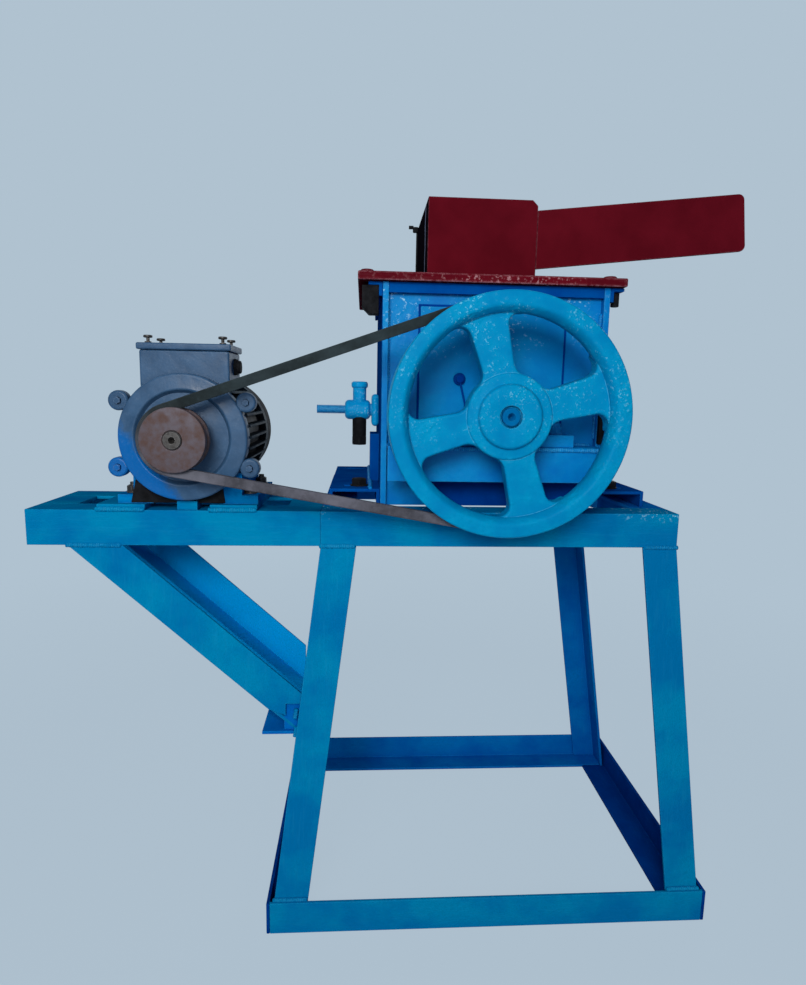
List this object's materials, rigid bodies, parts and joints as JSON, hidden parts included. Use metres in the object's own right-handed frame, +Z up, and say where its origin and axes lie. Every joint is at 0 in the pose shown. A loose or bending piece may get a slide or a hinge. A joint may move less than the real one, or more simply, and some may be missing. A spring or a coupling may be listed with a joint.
{
  "type": "roll coal crusher on a stand, belt-driven by an electric motor",
  "caption": "Coal crusher: toothed roll in a steel box on a welded angle-iron stand, driven by an electric motor through a V-belt and a spoked flywheel, with a hopper and side chute on top.",
  "frame": {"origin": "on the floor, under the middle of the whole machine's box; +Y points away from the flywheel side, +Z up", "axes": "X runs along the front from the motor to the chute, Y from the flywheel side to the back, Z up"},
  "size_m": [1.044, 0.521, 1.1154],
  "materials": {
    "stand_paint": "brush-painted cyan-blue enamel over welded angle iron, glossy with brush marks and weld beads",
    "body_paint": "brush-painted cyan-blue enamel on plate, glossy, scuffed at the edges",
    "wheel_paint": "cyan-blue enamel on cast iron, slightly rough, belt track polished",
    "hopper_paint": "dark red oxide enamel on sheet steel, dusty and scratched",
    "motor_paint": "grey-blue machine enamel on the cast motor housing, coal dust in the fins",
    "bare_steel": "machined steel with a brown film of rust",
    "rusty_iron": "machined cast iron with an even brown-grey rust",
    "black_iron": "black iron with coal dust",
    "belt_rubber": "dull dark grey belt rubber with dusty flanks"
  },
  "bodies": {
    "root": {"base_front_bar": "stand_paint", "base_back_bar": "stand_paint", "base_side_bars": "stand_paint", "front_legs": "stand_paint", "back_legs": "stand_paint", "table_front_rail": "stand_paint", "table_back_rail": "stand_paint", "table_end_angles": "stand_paint", "platform_rails": "stand_paint", "platform_end_angles": "stand_paint", "motor_bars": "stand_paint", "tension_block": "stand_paint", "braces": "stand_paint", "brace_seat_bar": "stand_paint", "body_feet": "stand_paint", "end_plate_left": "body_paint", "end_plate_right": "body_paint", "front_plate": "body_paint", "back_plate": "body_paint", "cover_plates": "body_paint", "top_angles": "body_paint", "bearing_shelves": "body_paint", "shaft_bearings": "body_paint", "breaker_plate": "black_iron", "flange_plate": "hopper_paint", "hopper_front_wall": "hopper_paint", "hopper_walls": "hopper_paint", "chute_front_cheek": "hopper_paint", "chute_tray": "hopper_paint", "clamp_blocks": "black_iron", "adjuster_boss": "body_paint", "adjuster_rod": "body_paint", "adjuster_lock_bolts": "body_paint", "motor_frame": "motor_paint", "motor_end_shields": "motor_paint", "motor_fan_cover": "motor_paint", "motor_feet": "motor_paint", "terminal_box": "motor_paint", "terminal_box_lid": "motor_paint", "v_belt": "belt_rubber"},
    "rotor": {"crusher_shaft": "bare_steel", "flywheel": "wheel_paint", "crushing_roll": "black_iron"},
    "motor_rotor": {"motor_shaft": "bare_steel", "motor_pulley": "rusty_iron"}
  },
  "joints": [
    {"name": "rotor_spin", "type": "hinge", "parent": "root", "child": "rotor", "pos_m": [0.129, -0.2315, 0.778], "axis": [0, 1, 0], "continuous": true},
    {"name": "motor_spin", "type": "hinge", "parent": "root", "child": "motor_rotor", "pos_m": [-0.304, -0.2315, 0.741], "axis": [0, 1, 0], "continuous": true}
  ],
  "couplings": [
    {"joint": "motor_spin", "follows": "rotor_spin", "ratio": 3.5882}
  ]
}
